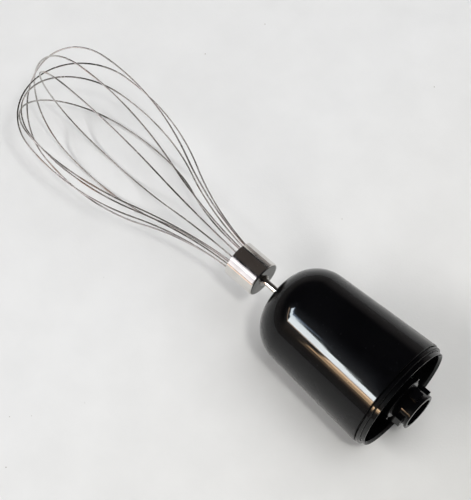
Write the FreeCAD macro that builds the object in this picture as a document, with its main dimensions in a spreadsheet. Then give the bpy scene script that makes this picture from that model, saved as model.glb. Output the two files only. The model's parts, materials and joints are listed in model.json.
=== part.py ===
import FreeCAD, Part

import math
import os
import re

import Sketcher
from FreeCAD import Placement, Rotation, Vector

# Whisk attachment of a hand blender, in millimetres.
#
# Every piece is drawn about one axis of turning, the local X axis. X = 0 is the plane of the
# open mouth that takes the motor handle, the coupling boss stands out of it towards +X, and the
# whisk points towards -X. Distances called "depth" run from the mouth towards the whisk.
# LYING then lays the whole attachment on the plane Z = 0, on its rim and its two lowest wires.

DIMENSIONS = {
    # mouth, lip and flange of the coupling frame
    "lip_radius": 28.3, "lip_length": 2.3, "lip_round": 0.15,
    "mouth_radius": 26.9, "bevel_radius": 27.8, "bevel_length": 1.2,
    "flange_radius": 29.6, "flange_depth": 4.3, "flange_round": 0.6,
    "seam_radius": 28.5, "seam_width": 0.4, "edge_round": 0.35,
    # outer shell
    "rim_radius": 30.0, "shoulder_radius": 25.0, "shoulder_depth": 79.3, "dome_fillet": 20.0,
    "wall": 2.2, "nose_depth": 81.2, "nose_radius": 7.4, "nose_step": 0.5,
    "nose_hole_radius": 5.6, "guide_radius": 11.0, "guide_depth": 72.0, "guide_gap": 0.1,
    # snap joint between shell and frame
    "spigot_gap": 0.15, "snap_depth": 11.0, "snap_groove_radius": 28.15, "snap_groove_width": 2.4,
    "snap_barb_radius": 27.8, "snap_barb_length": 1.8, "snap_barb_width": 6.0,
    # well and boss of the coupling frame
    "well_radius": 24.5, "floor_depth": 22.0, "floor_thickness": 3.0,
    "collar_radius": 11.0, "boss_radius": 9.0, "boss_length": 9.5,
    "bead_radius": 9.7, "bead_length": 1.2, "bore_radius": 7.95, "bore_length": 8.3,
    "seat_radius": 7.0, "boss_floor_depth": 14.0,
    "lug_width": 5.4, "lug_length": 4.6, "lug_radius": 11.6, "lug_start": 2.4, "lug_turn": 10.0,
    "tab_width": 1.6, "tab_radius": 12.4, "tab_length": 1.2, "tab_turn": 64.0,
    "stop_radius": 19.3, "stop_wall": 1.5, "stop_length": 4.3,
    # gearbox case
    "case_radius": 21.2, "case_bore": 19.45, "case_flange_radius": 24.4, "case_flange": 2.0,
    "ring_seat_depth": 36.8, "case_pocket_radius": 18.0, "case_floor_depth": 40.4,
    "case_floor": 2.5, "neck_radius": 9.0, "neck_bore": 5.6, "neck_depth": 76.4,
    "ear_radius": 2.6, "ear_length": 9.0,
    # screws
    "screw_circle": 22.0, "screw_radius": 1.25, "screw_hole": 1.45, "screw_length": 10.0,
    "screw_head_radius": 2.1, "screw_head": 1.5, "screw_slot": 0.55, "screw_slot_depth": 0.8,
    # bearings and seals
    "input_bush_radius": 5.0, "shaft_radius": 2.5, "running_gap": 0.03,
    "output_bush_radius": 6.5, "output_bush_depth": 64.5, "hub_radius": 5.0,
    "seal_gap": 0.25, "seal_lip": 0.7, "washer_radius": 9.5, "washer_thickness": 1.0,
    "washer_depth": 39.35,
    # input side
    "socket_radius": 5.4, "socket_mouth": 1.0, "socket_depth": 13.4, "socket_flats": 6.2,
    "socket_hexagon": 7.5, "socket_chamfer": 0.8, "shaft_top_depth": 7.2,
    "ring_groove_radius": 2.05, "ring_thickness": 0.7, "shaft_ring_depth": 25.2,
    "shaft_ring_radius": 4.4, "sun_seat_radius": 2.0,
    # gears: sun, three planets and a fixed internal ring
    "gear_module": 0.7, "pressure_angle": 25.0, "flank_play": 0.035,
    "sun_teeth": 12, "planet_teeth": 18, "ring_teeth": 48, "planet_count": 3,
    "sun_depth": 29.3, "sun_width": 6.7, "planet_depth": 30.0, "planet_width": 6.0,
    "ring_depth": 29.4, "ring_width": 7.3, "ring_outer_radius": 19.4,
    "key_radius": 20.3, "key_width": 3.0, "key_gap": 0.1, "key_count": 4,
    # carrier
    "plate_depth": 28.3, "plate_thickness": 1.5, "plate_radius": 15.4, "plate_hole": 5.8,
    "disc_depth": 36.2, "disc_thickness": 3.0, "pin_radius": 1.5, "pin_gap": 0.04,
    "post_radius": 2.2, "post_circle": 11.5, "hub_end_depth": 78.6,
    "hub_ring_depth": 76.7, "hub_groove_radius": 4.5, "hub_ring_radius": 6.3,
    "rod_bore": 1.8, "hexagon_end_depth": 52.0, "hexagon_start_depth": 60.0,
    "hexagon_seat_flats": 3.12, "detent_depth": 65.0, "detent_width": 0.9,
    "detent_outer_radius": 2.6, "detent_ring_radius": 2.55,
    # whisk rod and ferrule
    "rod_radius": 1.75, "rod_top_depth": 53.0, "rod_hexagon_end": 60.4, "rod_flats": 3.0,
    "rod_end_depth": 102.0, "rod_groove_radius": 1.5, "collar_thickness": 1.2,
    "collar_outer": 2.9, "ferrule_depth": 91.2, "ferrule_length": 17.5,
    "ferrule_radius": 9.7, "ferrule_wall": 0.5, "ferrule_round": 0.9,
    "core_recess": 2.2, "wire_hole_gap": 0.04,
    # wire loops
    "wire_radius": 0.425, "loop_count": 6, "loop_turn": 15.0, "wire_circle": 7.9,
    "leg_slope": 5.7, "leg_length": 12.0, "flare_slope": 28.1, "flare_length": 51.8,
    "belly_radius": 105.2, "tip_slope": 9.5,
}

doc = FreeCAD.newDocument("whisk_attachment")
sheet = doc.addObject("Spreadsheet::Sheet", "Size")
for row, (alias, size) in enumerate(DIMENSIONS.items(), start=1):
    sheet.set("A%d" % row, alias)
    sheet.set("B%d" % row, str(size))
    sheet.setAlias("B%d" % row, alias)
doc.recompute()


def bound(text):
    """Turn the dimension names in a formula into references to the sheet."""
    def reference(word):
        return "Size." + word[0] if word[0] in DIMENSIONS else word[0]

    return re.sub(r"[a-z][a-z_]+", reference, text)


def size(text):
    """The present value of a formula of dimension names."""
    return float(sheet.evalExpression(bound(text)))


def bind(target, path, text):
    target.setExpression(path, bound(text))


# ---------------------------------------------------------------------------------------------
# The curve of a wire loop, in its own plane: pairs of (distance past the ferrule's mouth, radius)

LEG_SLOPE = math.radians(size("leg_slope"))
MOUTH_DEPTH = size("ferrule_depth + ferrule_length")

# No two hand-set wires are alike. Each loop has its own turn about the axis, its own lean in its
# plane and across it about the ferrule's mouth, its own belly radius and its own end slopes.
LOOPS = [
    {"turn": -2.5, "lean_in": 0.3, "lean_out": 1.1, "belly": 5.6, "slope": -0.3},
    {"turn": -4.9, "lean_in": 2.5, "lean_out": -0.9, "belly": 9.3, "slope": -1.4},
    {"turn": 20.5, "lean_in": 1.0, "lean_out": -2.1, "belly": 10.4, "slope": -2.1},
    {"turn": 9.5, "lean_in": -1.7, "lean_out": -3.0, "belly": -6.0, "slope": -0.5},
    {"turn": -3.7, "lean_in": 2.9, "lean_out": 3.9, "belly": -26.3, "slope": 6.0},
    {"turn": 4.8, "lean_in": 0.1, "lean_out": -1.4, "belly": -5.3, "slope": 0.4},
]


class LoopCurve:
    """Leg, outward bend, long belly and tip arc of one loop, each arc tangent to the next."""

    def __init__(self, loop):
        own = LOOPS[loop]
        self.flare_slope = math.radians(size("flare_slope") + own["slope"])
        self.tip_slope = math.radians(size("tip_slope") + own["slope"])
        self.belly = size("belly_radius") + own["belly"]
        self.flare = size("flare_length") / (math.sin(self.flare_slope) - math.sin(LEG_SLOPE))

    def flare_point(self, slope):
        """A point of the outward bend, where the wire leaves the axis at the given slope."""
        along = self.flare * (math.sin(slope) - math.sin(LEG_SLOPE))
        out = size("wire_circle") + self.flare * (math.cos(LEG_SLOPE) - math.cos(slope))
        return along, out

    def belly_point(self, slope):
        """A point of the long belly, from the flare's end to the tip arc."""
        along, out = self.flare_point(self.flare_slope)
        along += self.belly * (math.sin(self.flare_slope) - math.sin(slope))
        out += self.belly * (math.cos(slope) - math.cos(self.flare_slope))
        return along, out

    def tip_point(self, slope):
        """A point of the tip arc, whose centre is on the loop's own middle line."""
        along, out = self.belly_point(-self.tip_slope)
        radius = out / math.cos(self.tip_slope)
        along -= radius * (math.sin(self.tip_slope) + math.sin(slope))
        out += radius * (math.cos(slope) - math.cos(self.tip_slope))
        return along, out


def turned(angle):
    """A placement turned about the local X axis, counted from +Z towards +Y."""
    return Placement(Vector(0, 0, 0), Rotation(Vector(1, 0, 0), -angle))


def loop_place(loop):
    """Where a loop sits: turned about the axis, and leaning a little about the ferrule's mouth."""
    own = LOOPS[loop]
    mouth = Placement(Vector(-MOUTH_DEPTH, 0, 0), Rotation())
    leaning = Rotation(Vector(0, 1, 0), own["lean_in"]) * Rotation(Vector(0, 0, 1), -own["lean_out"])
    angle = size("loop_turn") + 180 / size("loop_count") * loop + own["turn"]
    return turned(angle) * mouth * Placement(Vector(0, 0, 0), leaning) * mouth.inverse()


# ---------------------------------------------------------------------------------------------
# How the attachment lies: the rim's lowest point and the lowest wires touch Z = 0

def strand_points():
    """Points along the middle of every wire outside the ferrule, about the local X axis."""
    points = []
    for loop in range(int(size("loop_count"))):
        curve, place = LoopCurve(loop), loop_place(loop)
        spans = [(curve.flare_point, LEG_SLOPE, curve.flare_slope),
                 (curve.belly_point, curve.flare_slope, -curve.tip_slope),
                 (curve.tip_point, -curve.tip_slope, -math.pi / 2)]
        for point_at, first, last in spans:
            for step in range(61):
                along, out = point_at(first + (last - first) * step / 60)
                for side in (1, -1):
                    points.append(place.multVec(Vector(-MOUTH_DEPTH - along, 0, side * out)))
    return points


def lowest_strand(points, tilt):
    """The wire point that is lowest when the attachment is tilted about the local Y axis."""
    return min(points, key=lambda point: point.z * math.cos(tilt) - point.x * math.sin(tilt))


def tilt_on(points):
    """The tilt that brings the lowest wire level with the rim's lowest point."""
    rim, wire = size("rim_radius"), size("wire_radius")
    tilt = 0.0
    for _ in range(20):
        low = lowest_strand(points, tilt)
        wire_height = low.z * math.cos(tilt) - low.x * math.sin(tilt) - wire
        rim_height = RIM_DEPTH * math.sin(tilt) - rim * math.cos(tilt)
        tilt += (rim_height - wire_height) / (-low.x - RIM_DEPTH)
    return tilt


def lying_on(points, tilt):
    """The placement that lays it on Z = 0 with the middle of its box over the origin."""
    wire, rim, boss = size("wire_radius"), size("rim_radius"), size("bead_radius")
    lengths = [point.x * math.cos(tilt) + point.z * math.sin(tilt) - wire for point in points]
    boss_end = size("boss_length") * math.cos(tilt) + boss * math.sin(tilt)
    right = max([point.y + wire for point in points] + [rim])
    left = min([point.y - wire for point in points] + [-rim])
    height = rim * math.cos(tilt) - RIM_DEPTH * math.sin(tilt)
    shift = Vector(-(min(lengths) + boss_end) / 2, -(left + right) / 2, height)
    return Placement(shift, Rotation(Vector(0, 1, 0), math.degrees(tilt)))


RIM_DEPTH = size("flange_depth + seam_width")
STRANDS = strand_points()
TILT = tilt_on(STRANDS)
LYING = lying_on(STRANDS, TILT)


# ---------------------------------------------------------------------------------------------
# Building blocks

def new_body(name):
    body = doc.addObject("PartDesign::Body", name)
    body.Label = name
    body.Placement = LYING
    return body


def origin_part(body, role):
    return [part for part in body.Origin.OriginFeatures if part.Role == role][0]


def new_sketch(body, name, plane, offset=None):
    sketch = body.newObject("Sketcher::SketchObject", name)
    sketch.AttachmentSupport = (origin_part(body, plane), "")
    sketch.MapMode = "FlatFace"
    if offset:
        sketch.AttachmentOffset = offset
    return sketch


def hold_point(sketch, geometry, end, across, up):
    """Tie a point of the sketch to two formulas of dimension names."""
    for kind, text in (("DistanceX", across), ("DistanceY", up)):
        index = sketch.addConstraint(Sketcher.Constraint(kind, -1, 1, geometry, end, size(text)))
        bind(sketch, "Constraints[%d]" % index, text)


def unit(vector):
    return vector * (1 / vector.Length)


def outline(sketch, corners):
    """A closed outline with straight sides.

    Each corner is a pair of formulas, and may have a third: the radius that rounds it off.
    """
    points = [Vector(size(corner[0]), size(corner[1]), 0) for corner in corners]
    first = sketch.GeometryCount
    count = len(points)
    for index in range(count):
        sketch.addGeometry(Part.LineSegment(points[index], points[(index + 1) % count]), False)
    for index, corner in enumerate(corners):
        before, after = first + (index - 1) % count, first + index
        if len(corner) == 3:
            round_corner(sketch, before, after, points[index - 1], points[(index + 1) % count], corner)
        else:
            sketch.addConstraint(Sketcher.Constraint("Coincident", before, 2, after, 1))
            hold_point(sketch, after, 1, corner[0], corner[1])


def round_corner(sketch, before, after, previous, following, corner):
    """Join two sides by a tangent arc; a construction point keeps the sharp corner's place."""
    across, up, radius = corner
    sharp = Vector(size(across), size(up), 0)
    back, ahead = unit(previous - sharp), unit(following - sharp)
    half = math.acos(back.dot(ahead)) / 2
    inward = unit(back + ahead)
    centre = sharp + inward * (size(radius) / math.sin(half))
    reach = size(radius) / math.tan(half)
    ends = [sharp + back * reach - centre, sharp + ahead * reach - centre]
    start_end = 1 if ends[0].cross(ends[1]).z > 0 else 2
    if start_end == 2:
        ends.reverse()
    turns = [math.atan2(end.y, end.x) for end in ends]
    if turns[1] < turns[0]:
        turns[1] += 2 * math.pi
    whole = Part.Circle(centre, Vector(0, 0, 1), size(radius))
    arc = sketch.addGeometry(Part.ArcOfCircle(whole, *turns), False)
    point = sketch.addGeometry(Part.Point(sharp), True)
    sketch.addConstraint(Sketcher.Constraint("PointOnObject", point, 1, before))
    sketch.addConstraint(Sketcher.Constraint("PointOnObject", point, 1, after))
    sketch.addConstraint(Sketcher.Constraint("Tangent", before, 2, arc, start_end))
    sketch.addConstraint(Sketcher.Constraint("Tangent", arc, 3 - start_end, after, 1))
    index = sketch.addConstraint(Sketcher.Constraint("Radius", arc, size(radius)))
    bind(sketch, "Constraints[%d]" % index, radius)
    hold_point(sketch, point, 1, across, up)


def circle(sketch, radius, across="0", up="0"):
    """A circle whose radius and centre are formulas."""
    drawn = Part.Circle(Vector(size(across), size(up), 0), Vector(0, 0, 1), size(radius))
    index = sketch.addGeometry(drawn, False)
    hold_point(sketch, index, 3, across, up)
    constraint = sketch.addConstraint(Sketcher.Constraint("Radius", index, size(radius)))
    bind(sketch, "Constraints[%d]" % constraint, radius)


def block(sketch, width, inner, outer, turn=None):
    """A rectangle astride the local Z axis, between two radii, turned about the axis if asked."""
    outline(sketch, [("-(%s) / 2" % width, inner), ("(%s) / 2" % width, inner),
                     ("(%s) / 2" % width, outer), ("-(%s) / 2" % width, outer)])
    if turn:
        sketch.AttachmentOffset = sketch.AttachmentOffset * turned_section(turn)


def turned_section(turn):
    return Placement(Vector(0, 0, 0), Rotation(Vector(0, 0, 1), -size(turn)))


def revolved(body, corners):
    """A ring or solid of revolution about the axis from an outline of (X, radius) corners."""
    sketch = new_sketch(body, body.Name + "_section", "XZ_Plane")
    outline(sketch, corners)
    turn = body.newObject("PartDesign::Revolution", body.Name + "_turned")
    turn.Profile = sketch
    turn.ReferenceAxis = (sketch, ["H_Axis"])
    turn.Angle = 360
    doc.recompute()
    return turn


def ring_added(body, name, corners):
    """Add a ring to the body from an outline of (X, radius) corners."""
    sketch = new_sketch(body, name + "_section", "XZ_Plane")
    outline(sketch, corners)
    ring = body.newObject("PartDesign::Revolution", name)
    ring.Profile = sketch
    ring.ReferenceAxis = (sketch, ["H_Axis"])
    ring.Angle = 360
    doc.recompute()
    return ring


def grooved(body, name, corners):
    """Cut a ring out of the body; its volume has to shrink."""
    before = body.Shape.Volume
    sketch = new_sketch(body, name + "_section", "XZ_Plane")
    outline(sketch, corners)
    groove = body.newObject("PartDesign::Groove", name)
    groove.Profile = sketch
    groove.ReferenceAxis = (sketch, ["H_Axis"])
    groove.Angle = 360
    doc.recompute()
    assert body.Shape.Volume < before - 1e-3, name
    return groove


def crosswise(body, name, depth):
    """A sketch across the axis at the given depth; its axes are the local Y and Z."""
    offset = Placement(Vector(0, 0, -size(depth)), Rotation())
    sketch = new_sketch(body, name + "_section", "YZ_Plane", offset)
    bind(sketch, "AttachmentOffset.Base.z", "-(%s)" % depth)
    return sketch


def padded(body, name, depth, length, draw, repeats="1"):
    """Add material from a depth towards the mouth, repeated evenly about the axis."""
    sketch = crosswise(body, name, depth)
    draw(sketch)
    pad = body.newObject("PartDesign::Pad", name)
    pad.Profile = sketch
    bind(pad, "Length", length)
    return repeated(body, pad, sketch, repeats, 1)


def pocketed(body, name, depth, length, draw, repeats="1"):
    """Cut material away from a depth towards the mouth, repeated evenly about the axis."""
    sketch = crosswise(body, name, depth)
    draw(sketch)
    pocket = body.newObject("PartDesign::Pocket", name)
    pocket.Profile = sketch
    pocket.Reversed = True
    bind(pocket, "Length", length)
    return repeated(body, pocket, sketch, repeats, -1)


def repeated(body, feature, sketch, repeats, sign):
    before = feature.BaseFeature.Shape.Volume if feature.BaseFeature else 0.0
    if size(repeats) > 1:
        pattern = body.newObject("PartDesign::PolarPattern", feature.Name + "_pattern")
        pattern.Originals = [feature]
        pattern.Axis = (sketch, ["N_Axis"])
        pattern.Angle = 360
        bind(pattern, "Occurrences", repeats)
        body.Tip = pattern
    doc.recompute()
    assert sign * (body.Shape.Volume - before) > 1e-3, feature.Name
    return body.Tip


def rounded(body, feature, places, radius):
    """Fillet the circular edges that lie at the given (X, radius) places."""
    edges = []
    for x, r in places:
        for index, edge in enumerate(feature.Shape.Edges, start=1):
            curve = edge.Curve
            if isinstance(curve, Part.Circle) and abs(curve.Radius - size(r)) < 0.02:
                if abs(curve.Center.x - size(x)) < 0.02 and "Edge%d" % index not in edges:
                    edges.append("Edge%d" % index)
    assert len(edges) == len(places), (feature.Name, places, edges)
    fillet = body.newObject("PartDesign::Fillet", feature.Name + "_round%d" % len(doc.Objects))
    fillet.Base = (feature, edges)
    bind(fillet, "Radius", radius)
    doc.recompute()
    return fillet


def hexagon(flats, turn=0.0):
    """Corner formulas of a hexagon about the axis, from its width across flats."""
    corners = []
    for index in range(6):
        angle = math.radians(60 * index + turn)
        reach = "(%s) / 2 / %.9f" % (flats, math.cos(math.radians(30)))
        corners.append(("%s * %.9f" % (reach, math.cos(angle)), "%s * %.9f" % (reach, math.sin(angle))))
    return corners


def plain_ring(name, depth, thickness, outer, inner, gap=None):
    """A flat ring: a cylinder less its bore, and less a gap where it is an open ring."""
    parts = []
    for suffix, radius in (("outside", outer), ("inside", inner)):
        disc = doc.addObject("Part::Cylinder", "%s_%s" % (name, suffix))
        disc.Placement = Placement(Vector(-size(depth), 0, 0), Rotation(Vector(0, 1, 0), -90))
        bind(disc, "Radius", radius)
        bind(disc, "Height", thickness)
        bind(disc, "Placement.Base.x", "-(%s)" % depth)
        parts.append(disc)
    ring = doc.addObject("Part::Cut", name if not gap else name + "_closed")
    ring.Base, ring.Tool = parts
    if gap:
        slot = doc.addObject("Part::Box", name + "_gap")
        for axis, length in (("Length", thickness), ("Width", gap), ("Height", outer)):
            bind(slot, axis, length)
        bind(slot, "Placement.Base.x", "-(%s) - (%s)" % (depth, thickness))
        bind(slot, "Placement.Base.y", "-(%s) / 2" % gap)
        opened = doc.addObject("Part::Cut", name)
        opened.Base, opened.Tool = ring, slot
        ring = opened
    ring.Label = name
    ring.Placement = LYING
    return ring


def plain_feature(name, shape):
    """A piece whose shape comes from Part's own functions."""
    feature = doc.addObject("Part::Feature", name)
    feature.Label = name
    feature.Shape = shape
    feature.Placement = LYING * shape.Placement
    return feature


def rod_between(start_depth, end_depth, radius, y=0.0, z=0.0):
    """A plain round bar along the axis, from one depth to a greater one."""
    start = Vector(-size(start_depth), y, z)
    length = size("(%s) - (%s)" % (end_depth, start_depth))
    return Part.makeCylinder(size(radius), length, start, Vector(-1, 0, 0))


# ---------------------------------------------------------------------------------------------
# Housing

def outer_shell():
    body = new_body("outer_shell")
    rim = "-(flange_depth + seam_width)"
    turn = revolved(body, [
        (rim, "rim_radius"), ("-shoulder_depth", "shoulder_radius", "dome_fillet"),
        ("-(nose_depth - nose_step)", "nose_radius"), ("-nose_depth", "nose_radius"),
        ("-nose_depth", "nose_hole_radius"), ("-(nose_depth - wall)", "nose_hole_radius"),
        ("-(shoulder_depth - wall)", "shoulder_radius - wall", "dome_fillet - wall"),
        (rim, "rim_radius - wall")])
    rounded(body, turn, [("-nose_depth", "nose_radius"), (rim, "rim_radius")], "edge_round")
    ring_added(body, "neck_guide", [
        ("-guide_depth", "neck_radius + guide_gap"), ("-guide_depth", "guide_radius"),
        ("-(nose_depth - wall * 0.8)", "guide_radius"),
        ("-(nose_depth - wall * 0.8)", "neck_radius + guide_gap")])
    grooved(body, "snap_groove", [
        ("-(snap_depth - snap_groove_width / 2)", "snap_groove_radius - 3"),
        ("-(snap_depth - snap_groove_width / 2)", "snap_groove_radius"),
        ("-(snap_depth + snap_groove_width / 2)", "snap_groove_radius"),
        ("-(snap_depth + snap_groove_width / 2)", "snap_groove_radius - 3")])
    return body


def coupling_frame():
    body = new_body("coupling_frame")
    back = "-(floor_depth + floor_thickness)"
    slope = "(rim_radius - shoulder_radius) / (shoulder_depth - flange_depth)"
    spigot = "rim_radius - wall - spigot_gap"
    turn = revolved(body, [
        ("-bevel_length", "mouth_radius"), ("0", "bevel_radius"),
        ("0", "lip_radius"), ("-lip_length", "lip_radius"),
        ("-lip_length", "flange_radius"), ("-flange_depth", "flange_radius"),
        ("-flange_depth", "seam_radius"), ("-(flange_depth + seam_width)", "seam_radius"),
        ("-(flange_depth + seam_width)", spigot),
        (back, "%s - (floor_depth + floor_thickness - flange_depth) * %s" % (spigot, slope)),
        (back, "stop_radius"), ("%s - stop_length" % back, "stop_radius"),
        ("%s - stop_length" % back, "stop_radius - stop_wall"), (back, "stop_radius - stop_wall"),
        (back, "input_bush_radius"), ("-boss_floor_depth", "input_bush_radius"),
        ("-boss_floor_depth", "seat_radius"), ("boss_length - bore_length", "seat_radius"),
        ("boss_length - bore_length", "bore_radius"), ("boss_length", "bore_radius"),
        ("boss_length", "bead_radius"), ("boss_length - bead_length", "bead_radius"),
        ("boss_length - bead_length", "boss_radius"), ("0", "boss_radius"),
        ("0", "collar_radius"), ("-floor_depth", "collar_radius"), ("-floor_depth", "well_radius")])
    rounded(body, turn, [
        ("-flange_depth", "flange_radius"), ("boss_length", "bead_radius"),
        ("0", "collar_radius")], "edge_round")
    rounded(body, body.Tip, [("-lip_length", "flange_radius")], "flange_round")
    rounded(body, body.Tip, [("0", "lip_radius")], "lip_round")
    padded(body, "lug", "-(lug_start)", "lug_length",
           lambda sketch: block(sketch, "lug_width", "boss_radius - 0.6", "lug_radius", "lug_turn"), "4")
    padded(body, "tab", "tab_length + edge_round", "tab_length",
           lambda sketch: block(sketch, "tab_width", "collar_radius - 0.6", "tab_radius", "tab_turn"), "2")
    padded(body, "snap_barb", "snap_depth + snap_barb_length / 2", "snap_barb_length",
           lambda sketch: block(sketch, "snap_barb_width", "snap_barb_radius - 1.2", "snap_barb_radius"),
           "4")
    corner = "screw_circle * %.9f" % math.sin(math.radians(45))
    pocketed(body, "screw_clearance", "floor_depth + floor_thickness + 1", "floor_thickness + 2",
             lambda sketch: circle(sketch, "screw_hole", corner, corner), "4")
    return body


def gear_case():
    body = new_body("gear_case")
    top = "-(floor_depth + floor_thickness)"
    turn = revolved(body, [
        (top, "case_bore"), (top, "case_flange_radius"), ("%s - case_flange" % top, "case_flange_radius"),
        ("%s - case_flange" % top, "case_radius"), ("-(case_floor_depth + case_floor)", "case_radius"),
        ("-(case_floor_depth + case_floor)", "neck_radius"), ("-neck_depth", "neck_radius"),
        ("-neck_depth", "output_bush_radius"), ("-output_bush_depth", "output_bush_radius"),
        ("-output_bush_depth", "neck_bore"), ("-case_floor_depth", "neck_bore"),
        ("-case_floor_depth", "case_pocket_radius"), ("-ring_seat_depth", "case_pocket_radius"),
        ("-ring_seat_depth", "case_bore")])
    rounded(body, turn, [("-(case_floor_depth + case_floor)", "neck_radius")], "1")
    corner = "screw_circle * %.9f" % math.sin(math.radians(45))
    padded(body, "ear", "floor_depth + floor_thickness + ear_length", "ear_length",
           lambda sketch: circle(sketch, "ear_radius", corner, corner), "4")
    pocketed(body, "ear_pilot", "floor_depth + floor_thickness + ear_length - 1", "ear_length",
             lambda sketch: circle(sketch, "screw_radius", corner, corner), "4")
    pocketed(body, "key_slot", "ring_seat_depth", "ring_seat_depth - floor_depth",
             lambda sketch: block(sketch, "key_width + key_gap", "case_bore - 1", "key_radius + key_gap"),
             "key_count")
    return body


def case_screws():
    top = -size("floor_depth")
    screws = []
    for turn in range(4):
        seat = Vector(top, 0, 0)
        head = Part.makeCylinder(size("screw_head_radius"), size("screw_head"), seat, Vector(1, 0, 0))
        shank = Part.makeCylinder(size("screw_radius"), size("screw_length"), seat, Vector(-1, 0, 0))
        screw = head.fuse(shank)
        for across in (0, 90):
            bar = Part.makeBox(size("screw_slot_depth"), size("screw_slot"),
                               size("screw_head_radius * 1.3"))
            bar.translate(Vector(top + size("screw_head - screw_slot_depth"),
                                 -size("screw_slot") / 2, -size("screw_head_radius") * 0.65))
            bar.rotate(Vector(0, 0, 0), Vector(1, 0, 0), across)
            screw = screw.cut(bar)
        screw.translate(Vector(0, 0, size("screw_circle")))
        screw.rotate(Vector(0, 0, 0), Vector(1, 0, 0), 45 + 90 * turn)
        screws.append(screw)
    return plain_feature("case_screws", Part.makeCompound(screws))


def input_bearing():
    return plain_ring("input_bearing", "boss_floor_depth",
                      "floor_depth + floor_thickness - boss_floor_depth",
                      "input_bush_radius", "shaft_radius + running_gap")


def output_bush():
    return plain_ring("output_bush", "output_bush_depth", "neck_depth - output_bush_depth",
                      "output_bush_radius", "hub_radius + running_gap")


def thrust_washer():
    return plain_ring("thrust_washer", "washer_depth", "washer_thickness", "washer_radius", "neck_bore")


def nose_seal():
    body = new_body("nose_seal")
    rod = "rod_radius + seal_gap"
    revolved(body, [
        ("-(nose_depth - wall)", "nose_hole_radius"), ("-(nose_depth - wall)", "rod_radius + 2"),
        ("-(nose_depth - seal_lip - 0.5)", rod), ("-(nose_depth - seal_lip)", rod),
        ("-(nose_depth - 0.3)", "rod_radius + 1"), ("-(nose_depth - 0.3)", "nose_hole_radius")])
    return body


# ---------------------------------------------------------------------------------------------
# Gears

def polar(radius, angle):
    return Vector(0, radius * math.sin(angle), radius * math.cos(angle))


def involute_turn(radius, base):
    """How far an involute has turned where it reaches the radius."""
    if radius <= base:
        return 0.0
    steep = math.acos(base / radius)
    return math.tan(steep) - steep


def gear_wire(teeth, outer, root, play, internal):
    """Outline of a spur gear; a tooth of an external gear, or of the ring, stands at +Z."""
    pitch = size("gear_module") * teeth / 2
    base = pitch * math.cos(math.radians(size("pressure_angle")))
    half = math.pi / (2 * teeth)
    play_angle = play / pitch
    inner_radius, outer_radius = min(outer, root), max(outer, root)
    start = max(inner_radius, base)

    def half_width(radius):
        """Half the angle of the toothed form at a radius: a tooth, or a gap of the ring."""
        drawn = half + play_angle if internal else half - play_angle
        return drawn + involute_turn(pitch, base) - involute_turn(radius, base)

    edges = []
    shift = math.pi / teeth if internal else 0.0
    for tooth in range(teeth):
        centre = 2 * math.pi * tooth / teeth + shift
        middle = (start + outer_radius) / 2
        rising = [polar(r, centre - half_width(r)) for r in (start, middle, outer_radius)]
        falling = [polar(r, centre + half_width(r)) for r in (outer_radius, middle, start)]
        foot = half_width(start)
        if inner_radius < start - 1e-6:
            edges.append(Part.LineSegment(polar(inner_radius, centre - foot), rising[0]).toShape())
        edges.append(Part.Arc(*rising).toShape())
        edges.append(Part.Arc(rising[2], polar(outer_radius, centre), falling[0]).toShape())
        edges.append(Part.Arc(*falling).toShape())
        if inner_radius < start - 1e-6:
            edges.append(Part.LineSegment(falling[2], polar(inner_radius, centre + foot)).toShape())
        gap = 2 * math.pi / teeth - 2 * foot
        root_start = centre + foot
        edges.append(Part.Arc(polar(inner_radius, root_start), polar(inner_radius, root_start + gap / 2),
                              polar(inner_radius, root_start + gap)).toShape())
    return Part.Wire(Part.__sortEdges__(edges))


def toothed_disc(teeth, depth, width, bore, turn):
    pitch = size("gear_module") * teeth / 2
    module = size("gear_module")
    wire = gear_wire(teeth, pitch + module, pitch - 1.25 * module, size("flank_play"), False)
    solid = Part.Face(wire).extrude(Vector(-width, 0, 0))
    solid.translate(Vector(-depth, 0, 0))
    hole = Part.makeCylinder(bore, width + 2, Vector(-depth + 1, 0, 0), Vector(-1, 0, 0))
    solid = solid.cut(hole)
    solid.rotate(Vector(0, 0, 0), Vector(1, 0, 0), turn)
    return solid


def sun_gear():
    solid = toothed_disc(int(size("sun_teeth")), size("sun_depth"), size("sun_width"),
                         size("sun_seat_radius"), 0)
    return plain_feature("sun_gear", solid)


CENTRE_DISTANCE = size("gear_module * (sun_teeth + planet_teeth) / 2")


def planet_gear(index):
    """A planet on its pin; the half-pitch turn puts one of its gaps on the sun's tooth."""
    half_pitch = 180 / size("planet_teeth")
    solid = toothed_disc(int(size("planet_teeth")), size("planet_depth"), size("planet_width"),
                         size("pin_radius + pin_gap"), half_pitch)
    solid.translate(Vector(0, 0, CENTRE_DISTANCE))
    solid.rotate(Vector(0, 0, 0), Vector(1, 0, 0), -360 / size("planet_count") * index)
    return plain_feature("planet_gear_%d" % (index + 1), solid)


def ring_gear():
    teeth = int(size("ring_teeth"))
    pitch = size("gear_module") * teeth / 2
    depth, width = size("ring_depth"), size("ring_width")
    module = size("gear_module")
    wire = gear_wire(teeth, pitch + 1.25 * module, pitch - module, size("flank_play"), True)
    hollow = Part.Face(wire).extrude(Vector(-width - 2, 0, 0))
    hollow.translate(Vector(1 - depth, 0, 0))
    solid = rod_between("ring_depth", "ring_depth + ring_width", "ring_outer_radius")
    for index in range(int(size("key_count"))):
        key = Part.makeBox(width, size("key_width"), size("key_radius - ring_outer_radius + 0.6"))
        key.translate(Vector(-depth - width, -size("key_width") / 2, size("ring_outer_radius - 0.6")))
        key.rotate(Vector(0, 0, 0), Vector(1, 0, 0), 360 / size("key_count") * index)
        solid = solid.fuse(key)
    return plain_feature("ring_gear", solid.cut(hollow).removeSplitter())


# ---------------------------------------------------------------------------------------------
# Input side

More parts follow.
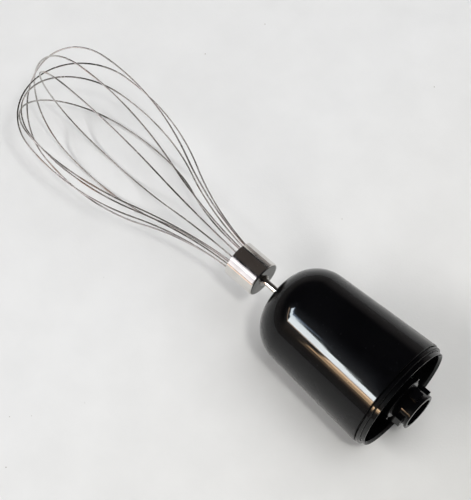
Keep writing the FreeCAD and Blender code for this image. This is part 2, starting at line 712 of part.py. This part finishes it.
def drive_socket():
    body = new_body("drive_socket")
    revolved(body, [
        ("socket_mouth", "0"), ("socket_mouth", "socket_radius - socket_chamfer / 2"),
        ("socket_mouth - socket_chamfer / 2", "socket_radius"), ("-socket_depth", "socket_radius"),
        ("-socket_depth", "0")])
    grooved(body, "socket_lead_in", [
        ("socket_mouth + 1", "0"), ("socket_mouth + 1", "socket_flats / 2 + socket_chamfer + 1"),
        ("socket_mouth - socket_chamfer", "socket_flats / 2"), ("socket_mouth - socket_chamfer", "0")])
    pocketed(body, "spindle_hexagon", "socket_hexagon - socket_mouth", "socket_hexagon + 1",
             lambda sketch: outline(sketch, hexagon("socket_flats")))
    pocketed(body, "shaft_seat", "socket_depth + 1", "socket_depth + 1 - shaft_top_depth",
             lambda sketch: circle(sketch, "shaft_radius"))
    return body


def drive_shaft():
    body = new_body("drive_shaft")
    groove_end = "-(shaft_ring_depth + ring_thickness + 0.1)"
    end = "-(sun_depth + sun_width)"
    revolved(body, [
        ("-shaft_top_depth", "0"), ("-shaft_top_depth", "shaft_radius - 0.3"),
        ("-(shaft_top_depth + 0.3)", "shaft_radius"), ("-shaft_ring_depth", "shaft_radius"),
        ("-shaft_ring_depth", "ring_groove_radius"), (groove_end, "ring_groove_radius"),
        (groove_end, "shaft_radius"), ("-sun_depth", "shaft_radius"), ("-sun_depth", "sun_seat_radius"),
        (end, "sun_seat_radius"), (end, "0")])
    return body


def shaft_ring():
    return plain_ring("shaft_ring", "shaft_ring_depth + 0.05", "ring_thickness", "shaft_ring_radius",
                      "ring_groove_radius", "shaft_radius * 1.2")


# ---------------------------------------------------------------------------------------------
# Carrier

def pin_places(circle_radius, offset):
    """Centres evenly about the axis, the first at the offset angle from +Z."""
    count = int(size("planet_count"))
    angles = [math.radians(offset + 360 / count * index) for index in range(count)]
    return [(circle_radius * math.sin(angle), circle_radius * math.cos(angle)) for angle in angles]


def planet_carrier():
    body = new_body("planet_carrier")
    disc_back = "-(disc_depth + disc_thickness)"
    turn = revolved(body, [
        ("-disc_depth", "0"), ("-disc_depth", "plate_radius"), (disc_back, "plate_radius"),
        (disc_back, "hub_radius"), ("-hub_ring_depth", "hub_radius"),
        ("-hub_ring_depth", "hub_groove_radius"),
        ("-(hub_ring_depth + ring_thickness + 0.1)", "hub_groove_radius"),
        ("-(hub_ring_depth + ring_thickness + 0.1)", "hub_radius"), ("-hub_end_depth", "hub_radius"),
        ("-hub_end_depth", "rod_bore"), ("-(detent_depth + detent_width)", "rod_bore"),
        ("-(detent_depth + detent_width)", "detent_outer_radius"), ("-detent_depth", "detent_outer_radius"),
        ("-detent_depth", "rod_bore"), ("-hexagon_start_depth", "rod_bore"), ("-hexagon_start_depth", "0")])
    rounded(body, turn, [("-disc_depth", "plate_radius"), (disc_back, "plate_radius")], "edge_round")
    pocketed(body, "hexagon_seat", "hexagon_start_depth + 0.5",
             "hexagon_start_depth + 0.5 - hexagon_end_depth",
             lambda sketch: outline(sketch, hexagon("hexagon_seat_flats")))
    post = size("post_circle")
    angle = math.radians(180 / size("planet_count"))
    centre = ("post_circle * %.9f" % math.sin(angle), "post_circle * %.9f" % math.cos(angle))
    assert post > size("plate_hole + post_radius")
    padded(body, "post", "disc_depth + 0.5", "disc_depth + 0.5 - plate_depth - plate_thickness",
           lambda sketch: circle(sketch, "post_radius", *centre), "planet_count")
    pocketed(body, "pin_hole", "disc_depth + disc_thickness + 1", "disc_thickness + 2",
             lambda sketch: circle(sketch, "pin_radius", "0", "%.9f" % CENTRE_DISTANCE), "planet_count")
    return body


def carrier_plate():
    body = new_body("carrier_plate")
    back = "-(plate_depth + plate_thickness)"
    revolved(body, [("-plate_depth", "plate_hole"), ("-plate_depth", "plate_radius"),
                    (back, "plate_radius"), (back, "plate_hole")])
    pocketed(body, "plate_pin_hole", "plate_depth + plate_thickness + 1", "plate_thickness + 2",
             lambda sketch: circle(sketch, "pin_radius", "0", "%.9f" % CENTRE_DISTANCE), "planet_count")
    return body


def planet_pins():
    pins = [rod_between("plate_depth", "disc_depth + disc_thickness", "pin_radius", y, z)
            for y, z in pin_places(CENTRE_DISTANCE, 0)]
    return plain_feature("planet_pins", Part.makeCompound(pins))


def hub_ring():
    return plain_ring("hub_ring", "hub_ring_depth + 0.05", "ring_thickness", "hub_ring_radius",
                      "hub_groove_radius", "hub_radius * 1.2")


def detent_ring():
    return plain_ring("detent_ring", "detent_depth + 0.1", "detent_width - 0.2", "detent_ring_radius",
                      "rod_bore", "rod_radius")


# ---------------------------------------------------------------------------------------------
# Whisk

def whisk_shaft():
    body = new_body("whisk_shaft")
    groove_end = "-(detent_depth + detent_width)"
    revolved(body, [
        ("-rod_top_depth", "0"), ("-rod_top_depth", "rod_radius - 0.4"),
        ("-(rod_top_depth + 0.4)", "rod_radius"),
        ("-detent_depth", "rod_radius"), ("-(detent_depth + 0.2)", "rod_groove_radius"),
        ("%s + 0.2" % groove_end, "rod_groove_radius"), (groove_end, "rod_radius"),
        ("-rod_end_depth", "rod_radius"), ("-rod_end_depth", "0")])

    def flats(sketch):
        outline(sketch, [("-4", "-4"), ("4", "-4"), ("4", "4"), ("-4", "4")])
        outline(sketch, hexagon("rod_flats"))

    pocketed(body, "rod_hexagon", "rod_hexagon_end", "rod_hexagon_end - rod_top_depth + 1", flats)
    return body


def rod_collar():
    body = new_body("rod_collar")
    face, step = "-ferrule_depth", "-(ferrule_depth - collar_thickness / 2)"
    top = "-(ferrule_depth - collar_thickness)"
    revolved(body, [(face, "rod_radius"), (face, "collar_outer"), (step, "collar_outer"),
                    (step, "collar_outer - 0.45"), (top, "collar_outer - 0.45"), (top, "rod_radius")])
    return body


def ferrule():
    body = new_body("ferrule")
    face, mouth = "-ferrule_depth", "-(ferrule_depth + ferrule_length)"
    inside = "ferrule_radius - ferrule_wall"
    turn = revolved(body, [
        (face, "rod_radius"), (face, "ferrule_radius"), (mouth, "ferrule_radius"), (mouth, inside),
        ("-(ferrule_depth + ferrule_wall)", inside), ("-(ferrule_depth + ferrule_wall)", "rod_radius")])
    corner = rounded(body, turn, [(face, "ferrule_radius")], "ferrule_round")
    rounded(body, corner, [(mouth, "ferrule_radius")], "ferrule_wall / 3")
    rounded(body, body.Tip, [("-(ferrule_depth + ferrule_wall)", inside)], "ferrule_round - ferrule_wall")
    return body


def leg_points():
    """The straight part of a wire inside the ferrule: its far end and where it leaves the mouth."""
    out = size("wire_circle")
    deep = size("leg_length")
    return (-deep, out - deep * math.tan(LEG_SLOPE)), (0.0, out)


def wire_core():
    """The plug in the ferrule, bored for the rod and for the twelve straight wire ends."""
    face = "ferrule_depth + ferrule_round"
    plug = rod_between(face, "ferrule_depth + ferrule_length - core_recess",
                       "ferrule_radius - ferrule_wall")
    plug = plug.cut(rod_between("ferrule_depth - 1", "rod_end_depth", "rod_radius"))
    (deep, deep_out), (near, near_out) = leg_points()
    radius = size("wire_radius + wire_hole_gap")
    for loop in range(int(size("loop_count"))):
        for side in (1, -1):
            start = Vector(-MOUTH_DEPTH - deep + 0.1, 0, side * (deep_out - 0.1 * math.tan(LEG_SLOPE)))
            direction = Vector(deep - near, 0, side * (near_out - deep_out))
            hole = Part.makeCylinder(radius, size("leg_length + 3"), start, direction)
            hole.Placement = loop_place(loop) * hole.Placement
            plug = plug.cut(hole)
    return plain_feature("wire_core", plug)


def whisk_loop(loop):
    """One wire: leg, flare, belly and tip arc, and the same back on the other side."""
    curve = LoopCurve(loop)
    (deep, deep_out), near = leg_points()
    body = doc.addObject("PartDesign::Body", "whisk_loop_%d" % (loop + 1))
    body.Label = body.Name
    route = new_sketch(body, body.Name + "_route", "XZ_Plane")

    def place(point, side):
        return Vector(-MOUTH_DEPTH - point[0], side * point[1], 0)

    def arc(first, middle, last, side, last_side):
        route.addGeometry(Part.Arc(place(first, side), place(middle, side), place(last, last_side)), False)

    flare_end = curve.flare_point(curve.flare_slope)
    belly_end = curve.belly_point(-curve.tip_slope)
    for side in (1, -1):
        route.addGeometry(Part.LineSegment(place((deep, deep_out), side), place(near, side)), False)
        arc(near, curve.flare_point((LEG_SLOPE + curve.flare_slope) / 2), flare_end, side, side)
        arc(flare_end, curve.belly_point((curve.flare_slope - curve.tip_slope) / 2), belly_end, side, side)
    arc(belly_end, curve.tip_point(-math.pi / 2), belly_end, 1, -1)
    along_wire = [1, 2, 3, 7, 6, 5, 4]
    leg_turn = Rotation(Vector(1, 0, 0), math.degrees(LEG_SLOPE))
    section = new_sketch(body, body.Name + "_section", "YZ_Plane",
                         Placement(Vector(0, deep_out, -MOUTH_DEPTH - deep), leg_turn))
    circle(section, "wire_radius")
    pipe = body.newObject("PartDesign::AdditivePipe", body.Name + "_wire")
    pipe.Profile = section
    pipe.Spine = (route, ["Edge%d" % edge for edge in along_wire])
    doc.recompute()
    length = sum(edge.Length for edge in route.Shape.Edges)
    expected = length * math.pi * size("wire_radius") ** 2
    assert abs(body.Shape.Volume / expected - 1) < 0.01, (body.Name, body.Shape.Volume, expected)
    body.Placement = LYING * loop_place(loop)
    return body


# ---------------------------------------------------------------------------------------------

pieces = [
    outer_shell(), coupling_frame(), gear_case(), ring_gear(), case_screws(), input_bearing(),
    output_bush(), thrust_washer(), nose_seal(), drive_socket(), drive_shaft(), shaft_ring(),
    sun_gear(), planet_carrier(), carrier_plate(), planet_pins(), hub_ring(), detent_ring(),
    whisk_shaft(), rod_collar(), ferrule(), wire_core()]
pieces += [planet_gear(index) for index in range(int(size("planet_count")))]
pieces += [whisk_loop(loop) for loop in range(int(size("loop_count")))]
doc.recompute()

for entry in doc.Objects:
    assert "Invalid" not in entry.State and "Error" not in entry.State, (entry.Name, entry.State)
os.makedirs("parts", exist_ok=True)
for piece in pieces:
    shape = piece.Shape
    assert not shape.isNull() and shape.isValid() and shape.Volume > 0, piece.Label
    shape.exportStep("parts/%s.step" % piece.Label)
    print("%-18s solids %d volume %.1f" % (piece.Label, len(shape.Solids), shape.Volume))
print("tilt %.4f degrees, placed at %s" % (math.degrees(TILT), LYING.Base))
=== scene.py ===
import json
import math

import bpy
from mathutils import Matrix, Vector

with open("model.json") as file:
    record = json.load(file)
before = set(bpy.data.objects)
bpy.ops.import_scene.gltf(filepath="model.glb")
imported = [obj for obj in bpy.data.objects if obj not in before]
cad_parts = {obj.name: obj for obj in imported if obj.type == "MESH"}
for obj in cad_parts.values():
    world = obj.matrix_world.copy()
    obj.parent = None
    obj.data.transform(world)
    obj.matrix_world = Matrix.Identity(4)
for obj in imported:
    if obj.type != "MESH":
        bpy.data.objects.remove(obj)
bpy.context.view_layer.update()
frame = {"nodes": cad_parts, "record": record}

# Camera: a long lens, 0.8 m away, looking down at the attachment from its open end. Angles are in
# degrees, lengths in metres, the lens and its sensor in millimetres.
VIEW_AZIMUTH = 43.59
VIEW_ELEVATION = 61.61
VIEW_DISTANCE = 0.798
VIEW_TARGET = Vector((0.0104, 0.0023, 0.0278))
LENS = 114.4
SENSOR = 36.0
CLIP_NEAR, CLIP_FAR = 0.01, 20.0

PAPER_HALF = 3.0

# The window wall is a straight line seen from above: it passes through WALL_START, runs along
# WALL_RUN per metre and faces the attachment along WALL_FACING
WALL_START = (-0.66, -1.3)
WALL_RUN = (-0.336, 0.942)
WALL_FACING = (0.56, 0.2)

# Every lamp is a rectangle with its width and height in metres, its radiance and its colour.
# Fills light the paper: name, centre, point faced, width, height, radiance, colour
FILLS = (
    ("whisk_fill", (-1.4, 0.9, 0.8), (-0.05, 0, 0), 0.9, 0.9, 1.4, (0.99, 0.995, 1.0)),
    ("room_fill", (0.5, 0.5, 1.5), (0, 0, 0), 1.5, 1.9, 1.9, (0.985, 0.99, 1.0)),
    ("window_light", (-0.66, -1.3, 1.3), (0, 0, 0), 1.5, 0.35, 11.5, (1.0, 0.99, 0.98)),
    ("ceiling_lamp", (0.58, -0.21, 1.34), (0, 0, 0), 0.15, 0.17, 64.0, (1.0, 0.985, 0.96)),
)
# Panes are the parts of the window wall: name, distance along the wall, lower edge, width, height,
# radiance, colour
PANES = (
    ("window_left", -0.52, 1.10, 0.54, 0.32, 37.0, (0.92, 0.98, 1.0)),
    ("window_middle", -0.185, 1.10, 0.13, 0.38, 37.0, (0.92, 0.98, 1.0)),
    ("window_right", -0.075, 1.13, 0.09, 0.41, 37.0, (0.90, 0.97, 1.0)),
    ("window_upper", 0.01, 1.22, 0.08, 0.36, 35.0, (0.86, 0.95, 1.0)),
    ("window_end", 0.35, 1.29, 0.60, 0.36, 32.0, (0.82, 0.93, 1.0)),
    ("window_haze", 0.35, 1.65, 0.60, 0.14, 7.0, (0.55, 0.72, 1.0)),
    ("window_sill", 0.0, 1.045, 1.5, 0.05, 13.0, (1.0, 0.72, 0.5)),
    ("wood_top", -0.75, 0.94, 0.84, 0.10, 34.0, (1.0, 0.70, 0.43)),
    ("wood_middle", -0.76, 0.85, 0.84, 0.08, 15.0, (1.0, 0.66, 0.38)),
    ("wood_low", -0.74, 0.76, 0.84, 0.07, 20.0, (1.0, 0.66, 0.38)),
    ("wood_foot", -0.75, 0.62, 0.84, 0.06, 4.0, (1.0, 0.68, 0.42)),
)
# Cards stand round the whisk, with the same columns as the fills
CARDS = (
    ("far_card", (-0.13, 0.25, 0.10), (-0.02, 0, 0.03), 0.13, 0.19, 0.7, (1.0, 0.98, 0.93)),
    ("near_card", (-0.15, -0.26, 0.20), (-0.02, 0, 0.03), 0.38, 0.30, 1.1, (0.97, 0.94, 1.0)),
    ("warm_card", (-0.13, -0.26, 0.03), (-0.02, 0, 0.03), 0.30, 0.03, 1.0, (1.0, 0.6, 0.33)),
    ("window_card", (-0.66, -1.3, 1.23), (0, 0, 0.03), 1.2, 0.27, 1.6, (0.97, 0.96, 1.0)),
    ("brown_card", (-0.05, 0.2, 0.9), (-0.05, 0, 0.03), 1.3, 1.3, 0.035, (1.0, 0.76, 0.54)),
)
# Grey of the room by the height of the direction looked in, from level (0) to straight up (1)
ROOM = ((0.0, (0.36, 0.34, 0.33)), (0.3, (0.2, 0.18, 0.175)), (0.42, (0.022, 0.022, 0.026)))


def toward(azimuth, elevation):
    """Unit vector from a target to a camera or lamp at this azimuth and elevation, in degrees."""
    azimuth, elevation = math.radians(azimuth), math.radians(elevation)
    return Vector((math.sin(azimuth) * math.cos(elevation), -math.cos(azimuth) * math.cos(elevation),
                   math.sin(elevation)))


def link(name, data):
    """An object with this data, in the scene."""
    thing = bpy.data.objects.new(name, data)
    bpy.context.scene.collection.objects.link(thing)
    return thing


def make_camera():
    data = bpy.data.cameras.new("camera")
    data.sensor_width = SENSOR
    data.lens = LENS
    data.clip_start, data.clip_end = CLIP_NEAR, CLIP_FAR
    camera = link("camera", data)
    back = toward(VIEW_AZIMUTH, VIEW_ELEVATION)
    camera.location = VIEW_TARGET + back * VIEW_DISTANCE
    camera.rotation_euler = back.to_track_quat("Z", "Y").to_euler()
    bpy.context.scene.camera = camera


# ---------------------------------------------------------------------------------------------
# Materials

def set_stops(ramp, stops):
    """Give a colour ramp these (position, colour) stops."""
    elements = ramp.color_ramp.elements
    while len(elements) < len(stops):
        elements.new(0.5)
    for element, (position, colour) in zip(elements, stops):
        element.position, element.color = position, (*colour, 1)


class Look:
    """A material on the Principled shader, with textures in the object's own space, in metres.

    The colour and roughness given at the start are the plain values under the textures.
    """

    def __init__(self, name, colour, roughness, metallic=0.0):
        self.material = bpy.data.materials.new(name)
        self.material.use_nodes = True
        self.nodes, self.links = self.material.node_tree.nodes, self.material.node_tree.links
        self.shader = self.nodes["Principled BSDF"]
        self.space = self.nodes.new("ShaderNodeTexCoord").outputs["Object"]
        self.bump_before = None
        self.set("Base Color", (*colour, 1))
        self.set("Roughness", roughness)
        self.set("Metallic", metallic)

    def set(self, socket, value):
        """Set a socket of the shader to a plain value."""
        self.shader.inputs[socket].default_value = value

    def feed(self, socket, output):
        """Drive a socket of the shader from a texture."""
        self.links.new(output, self.shader.inputs[socket])

    def noise(self, scale, detail=3.0, stretch=(1, 1, 1), shift=0.0):
        """Noise with this many features per metre, drawn out along the axes with small stretch."""
        mapping = self.nodes.new("ShaderNodeMapping")
        mapping.inputs["Scale"].default_value = stretch
        mapping.inputs["Location"].default_value = (shift, shift * 0.7, shift * 1.3)
        texture = self.nodes.new("ShaderNodeTexNoise")
        texture.inputs["Scale"].default_value = scale
        texture.inputs["Detail"].default_value = detail
        self.links.new(self.space, mapping.inputs["Vector"])
        self.links.new(mapping.outputs[0], texture.inputs["Vector"])
        return texture.outputs["Fac"]

    def specks(self, scale, reach):
        """1 inside small scattered dots, 0 outside; reach is the dot's share of its cell."""
        texture = self.nodes.new("ShaderNodeTexVoronoi")
        texture.inputs["Scale"].default_value = scale
        self.links.new(self.space, texture.inputs["Vector"])
        dots = self.spread(texture.outputs["Distance"], (reach * 0.7, 1.0), (reach, 0.0))
        few = self.spread(self.noise(scale * 0.31, 1.0, shift=2.0), (0.56, 0.0), (0.6, 1.0))
        return self.product(dots, few)

    def spread(self, value, low, high):
        """Map the value between two (value, result) pairs, level outside them."""
        remap = self.nodes.new("ShaderNodeMapRange")
        for socket, number in zip(("From Min", "To Min", "From Max", "To Max"), (*low, *high)):
            remap.inputs[socket].default_value = number
        self.links.new(value, remap.inputs["Value"])
        return remap.outputs["Result"]

    def shaded_end_mask(self):
        """1 where the surface faces the open end of the housing, 0 elsewhere: the mask where shade
        is painted.
        """
        coordinates = self.nodes.new("ShaderNodeTexCoord")
        split = self.nodes.new("ShaderNodeSeparateXYZ")
        self.links.new(coordinates.outputs["Normal"], split.inputs[0])
        return self.spread(split.outputs["X"], (0.75, 0.0), (0.95, 1.0))

    def product(self, first, second):
        """One value multiplied by another."""
        both = self.nodes.new("ShaderNodeMath")
        both.operation = "MULTIPLY"
        self.links.new(first, both.inputs[0])
        self.links.new(second, both.inputs[1])
        return both.outputs[0]

    def colours(self, value, *stops):
        """Colours along the value, from (position, colour) stops."""
        ramp = self.nodes.new("ShaderNodeValToRGB")
        set_stops(ramp, stops)
        self.links.new(value, ramp.inputs["Fac"])
        return ramp.outputs["Color"]

    def mixed(self, share, first, second):
        """The first colour where the share is 0, the second where it is 1."""
        mix = self.nodes.new("ShaderNodeMix")
        mix.data_type = "RGBA"
        self.links.new(share, mix.inputs["Factor"])
        self.links.new(first, mix.inputs["A"])
        self.links.new(second, mix.inputs["B"])
        return mix.outputs["Result"]

    def tinted(self, first, second):
        """One colour multiplied by another."""
        mix = self.nodes.new("ShaderNodeMix")
        mix.data_type, mix.blend_type = "RGBA", "MULTIPLY"
        mix.inputs["Factor"].default_value = 1.0
        self.links.new(first, mix.inputs["A"])
        self.links.new(second, mix.inputs["B"])
        return mix.outputs["Result"]

    def bump(self, height, distance):
        """Relief of the given depth in metres, on top of any relief set before."""
        node = self.nodes.new("ShaderNodeBump")
        node.inputs["Distance"].default_value = distance
        node.inputs["Strength"].default_value = 1.0
        self.links.new(height, node.inputs["Height"])
        if self.bump_before:
            self.links.new(self.bump_before, node.inputs["Normal"])
        self.bump_before = node.outputs["Normal"]
        self.feed("Normal", self.bump_before)

    def coat(self, weight):
        """A clear gloss over a base that hardly reflects by itself."""
        self.set("Specular IOR Level", 0.03)
        self.set("Coat Weight", weight)
        self.set("Coat IOR", 1.45)


def shell_look():
    """Mirror-black moulding with a haze of hairline scratches, faint sink marks and some dust."""
    look = Look("shell_gloss", (0.0012, 0.0012, 0.0015), 0.3)
    look.coat(0.6)
    hair = look.noise(900, 4.0, (0.05, 1, 1))
    smears = look.noise(45, 4.0, (1, 1, 1), 3.0)
    look.feed("Roughness", look.spread(smears, (0.35, 0.2), (0.7, 0.42)))
    look.feed("Coat Roughness", look.spread(look.product(hair, smears), (0.2, 0.02), (0.42, 0.11)))
    dust = look.specks(700, 0.11)
    dark = look.colours(smears, (0.3, (0.001, 0.001, 0.0013)), (0.8, (0.0022, 0.0022, 0.0026)))
    grey = look.colours(dust, (0.0, (0.01, 0.01, 0.01)), (1.0, (0.05, 0.05, 0.052)))
    look.feed("Base Color", look.mixed(dust, dark, grey))
    look.bump(look.noise(14, 1.0), 0.00006)
    look.bump(look.noise(160, 2.0, (0.4, 1, 1)), 0.000004)
    return look.material


def frame_look():
    """The end piece: the same black under a thin sharp gloss, rubbed duller in places."""
    look = Look("frame_gloss", (0.0008, 0.0008, 0.001), 0.35)
    look.coat(0.7)
    rubbed = look.noise(260, 5.0)
    look.feed("Coat Roughness", look.spread(rubbed, (0.35, 0.02), (0.68, 0.09)))
    look.feed("Roughness", look.spread(rubbed, (0.3, 0.28), (0.7, 0.45)))
    tone = look.noise(70, 4.0, shift=1.0)
    look.feed("Base Color", look.colours(tone, (0.35, (0.0005, 0.0005, 0.0007)),
                                         (0.75, (0.0022, 0.0022, 0.0026))))
    look.bump(look.noise(420, 2.0), 0.000008)
    return look.material


def steel_look(name, colour, roughness, grain, depth, tint=0.8):
    """Plain steel or zinc: grain stretches its working marks, depth is their relief in metres.

    The duller patches have the tint's share of the colour.
    """
    look = Look(name, colour, roughness, 1.0)
    marks = look.noise(520, 4.0, grain)
    look.feed("Roughness", look.spread(marks, (0.3, roughness * 0.7), (0.7, roughness * 1.4)))
    duller = tuple(channel * tint for channel in colour)
    patches = look.noise(110, 4.0, grain, 1.7)
    look.feed("Base Color", look.colours(patches, (0.3, duller), (0.65, colour)))
    look.bump(marks, depth)
    return look.material


def ferrule_look():
    """Polished cup with faint rings left by turning and a few soft smudges; its end face is painted
    dark as painted shade, standing in for the dim reflection of the housing nose and the shaded
    paper.
    """
    look = Look("ferrule_steel", (0.74, 0.72, 0.69), 0.09, 1.0)
    rings = look.noise(1100, 2.0, (1, 0.02, 0.02))
    smudges = look.noise(130, 4.0, shift=3.0)
    polished = look.colours(smudges, (0.3, (0.68, 0.66, 0.63)), (0.6, (0.77, 0.75, 0.72)))
    # painted shade: the end face gets a dark colour in place of the dim reflection it catches
    painted_shade_colours = look.colours(smudges, (0.35, (0.11, 0.11, 0.105)), (0.6, (0.2, 0.2, 0.19)))
    look.feed("Base Color", look.mixed(look.shaded_end_mask(), polished, painted_shade_colours))
    look.feed("Roughness", look.spread(look.product(rings, smudges), (0.1, 0.05), (0.42, 0.2)))
    look.bump(rings, 0.0000004)
    return look.material


def wire_look():
    """Bright drawn wire: long lighter and darker streaks with a few brown ones."""
    look = Look("wire_steel", (0.45, 0.43, 0.42), 0.2, 1.0)
    streaks = look.noise(30, 2.0, (1, 1, 1), 5.0)
    look.feed("Base Color", look.colours(streaks,
                                         (0.36, (0.28, 0.27, 0.25)), (0.46, (0.54, 0.52, 0.50)),
                                         (0.58, (0.68, 0.65, 0.63)), (0.66, (0.44, 0.33, 0.28))))
    look.feed("Roughness", look.spread(look.noise(700, 3.0, (0.2, 1, 1)), (0.3, 0.14), (0.7, 0.32)))
    look.bump(look.noise(1500, 2.0, (0.1, 1, 1)), 0.0000002)
    return look.material


def moulded_look(name, colour, roughness, fleck=0.85, scatter=0.0):
    """Plain moulded or cast material with a fine, slightly uneven surface.

    The darker patches have the fleck's share of the colour; scatter is the light let in under it.
    """
    look = Look(name, colour, roughness)
    uneven = look.noise(700, 4.0)
    darker = tuple(channel * fleck for channel in colour)
    patches = look.noise(150, 5.0, shift=4.0)
    look.feed("Base Color", look.colours(patches, (0.35, darker), (0.65, colour)))
    look.feed("Roughness", look.spread(uneven, (0.3, roughness * 0.8), (0.7, roughness * 1.2)))
    look.bump(uneven, 0.00001)
    if scatter:
        look.set("Subsurface Weight", scatter)
        look.set("Subsurface Radius", (0.002, 0.0018, 0.0014))
    return look.material


def bronze_look():
    """Sintered bronze, with its open pores and an oil-darkened tone."""
    bronze = (0.62, 0.42, 0.22)
    look = Look("bush_bronze", bronze, 0.38, 1.0)
    pores = look.noise(2600, 2.0)
    look.feed("Base Color", look.colours(pores, (0.36, (0.22, 0.13, 0.06)), (0.5, bronze)))
    look.feed("Roughness", look.spread(pores, (0.35, 0.55), (0.6, 0.3)))
    look.bump(pores, 0.00001)
    return look.material


# One look for each material slot in the record
LOOKS = {
    "shell": shell_look(),
    "frame": frame_look(),
    "ferrule": ferrule_look(),
    "wire": wire_look(),
    "rod": steel_look("rod_steel", (0.66, 0.64, 0.61), 0.2, (4, 0.3, 0.3), 0.000008),
    "washer": steel_look("washer_steel", (0.60, 0.60, 0.59), 0.28, (1, 1, 1), 0.000006),
    "screw": steel_look("screw_zinc", (0.66, 0.67, 0.64), 0.33, (1, 1, 1), 0.00001, 0.7),
    "gear_steel": steel_look("sun_steel", (0.46, 0.45, 0.44), 0.36, (1, 1, 1), 0.00001),
    "carrier": steel_look("carrier_steel", (0.50, 0.49, 0.48), 0.42, (2, 0.6, 0.6), 0.000014, 0.7),
    "bush": bronze_look(),
    "case": moulded_look("case_nylon", (0.55, 0.55, 0.53), 0.5),
    "gear_plastic": moulded_look("gear_acetal", (0.86, 0.85, 0.80), 0.34, 0.94, 0.15),
    "socket": moulded_look("socket_nylon", (0.03, 0.03, 0.032), 0.42, 0.7),
    "seal": moulded_look("seal_rubber", (0.025, 0.025, 0.025), 0.72, 0.7),
    "core": moulded_look("core_resin", (0.16, 0.155, 0.15), 0.6, 0.6),
}


def dress():
    """Give every CAD node the look of its slot."""
    for row in frame["record"]["subparts"]:
        for slot in frame["nodes"][row["node"]].material_slots:
            slot.material = LOOKS[row["material_slot"]]


# ---------------------------------------------------------------------------------------------
# Paper, lamps and room

def make_floor():
    """A sheet of plain paper with mottling and fibres, painted greyer and warmer towards +X as
    painted light falloff.
    """
    mesh = bpy.data.meshes.new("paper")
    corners = [(x * PAPER_HALF, y * PAPER_HALF, 0) for x, y in ((-1, -1), (1, -1), (1, 1), (-1, 1))]
    mesh.from_pydata(corners, [], [(0, 1, 2, 3)])
    floor = link("paper", mesh)
    look = Look("paper", (0.84, 0.84, 0.825), 0.75)
    split = look.nodes.new("ShaderNodeSeparateXYZ")
    look.links.new(look.space, split.inputs[0])
    # painted light falloff: the paper's colour darkens towards +X, where the lamps light it less
    falloff_share = look.spread(split.outputs["X"], (-0.02, 0.0), (0.22, 1.0))
    painted_falloff = look.colours(falloff_share, (0.0, (0.835, 0.84, 0.838)), (0.5, (0.80, 0.80, 0.785)),
                        (1.0, (0.66, 0.657, 0.628)))
    mottle = look.colours(look.noise(38, 5.0), (0.3, (0.955, 0.955, 0.955)), (0.7, (1.0, 1.0, 1.0)))
    fibre = look.colours(look.specks(95, 0.035), (0.0, (1.0, 1.0, 1.0)), (1.0, (0.42, 0.39, 0.34)))
    look.feed("Base Color", look.tinted(look.tinted(painted_falloff, mottle), fibre))
    look.bump(look.noise(9, 3.0, (1, 1, 1), 6.0), 0.0012)
    look.bump(look.noise(900, 3.0), 0.00005)
    mesh.materials.append(look.material)


def make_lamp(name, centre, facing, width, height, radiance, colour):
    """A rectangular lamp turned to the facing point; its strength is given as radiance."""
    data = bpy.data.lights.new(name, "AREA")
    data.shape = "RECTANGLE"
    data.size, data.size_y = width, height
    data.color = colour
    data.energy = radiance * math.pi * width * height
    lamp = link(name, data)
    lamp.location = centre
    lamp.rotation_euler = (Vector(centre) - Vector(facing)).to_track_quat("Z", "Y").to_euler()
    lamp.visible_camera = False
    return lamp


def pieces_of(name, *slots):
    """A collection of the pieces with these material slots, for lamps that light nothing else."""
    pieces = bpy.data.collections.new(name)
    for row in frame["record"]["subparts"]:
        if row["material_slot"] in slots:
            pieces.objects.link(frame["nodes"][row["node"]])
    return pieces


def make_fill(*placing):
    """A lamp that lights the paper and is not seen in any gloss."""
    make_lamp(*placing).visible_glossy = False


def make_glint(pieces, *placing):
    """A lamp seen in the gloss of these pieces only, which casts no light on rough surfaces."""
    lamp = make_lamp(*placing)
    lamp.visible_diffuse = False
    lamp.light_linking.receiver_collection = pieces


def on_wall(along, height):
    """The point of the window wall at this distance along it and height, and a point it faces."""
    x, y = (start + run * along for start, run in zip(WALL_START, WALL_RUN))
    return (x, y, height), (x + WALL_FACING[0], y + WALL_FACING[1], height)


def make_lamps():
    for fill in FILLS:
        make_fill(*fill)
    black_gloss = pieces_of("black_gloss", "shell", "frame", "rod")
    for name, along, foot, width, height, radiance, colour in PANES:
        centre, facing = on_wall(along, foot + height / 2)
        make_glint(black_gloss, name, centre, facing, width, height, radiance, colour)
    whisk_steel = pieces_of("whisk_steel", "wire", "ferrule", "rod")
    for card in CARDS:
        make_glint(whisk_steel, *card)


def make_world():
    """A dim room, lighter near the floor than overhead."""
    world = bpy.data.worlds.new("room")
    world.use_nodes = True
    nodes, links = world.node_tree.nodes, world.node_tree.links
    direction = nodes.new("ShaderNodeTexCoord")
    split = nodes.new("ShaderNodeSeparateXYZ")
    ramp = nodes.new("ShaderNodeValToRGB")
    set_stops(ramp, ROOM)
    links.new(direction.outputs["Generated"], split.inputs[0])
    links.new(split.outputs["Z"], ramp.inputs[0])
    links.new(ramp.outputs[0], nodes["Background"].inputs["Color"])
    bpy.context.scene.world = world


bpy.context.scene.view_settings.view_transform = "Standard"
dress()
make_camera()
make_floor()
make_lamps()
make_world()
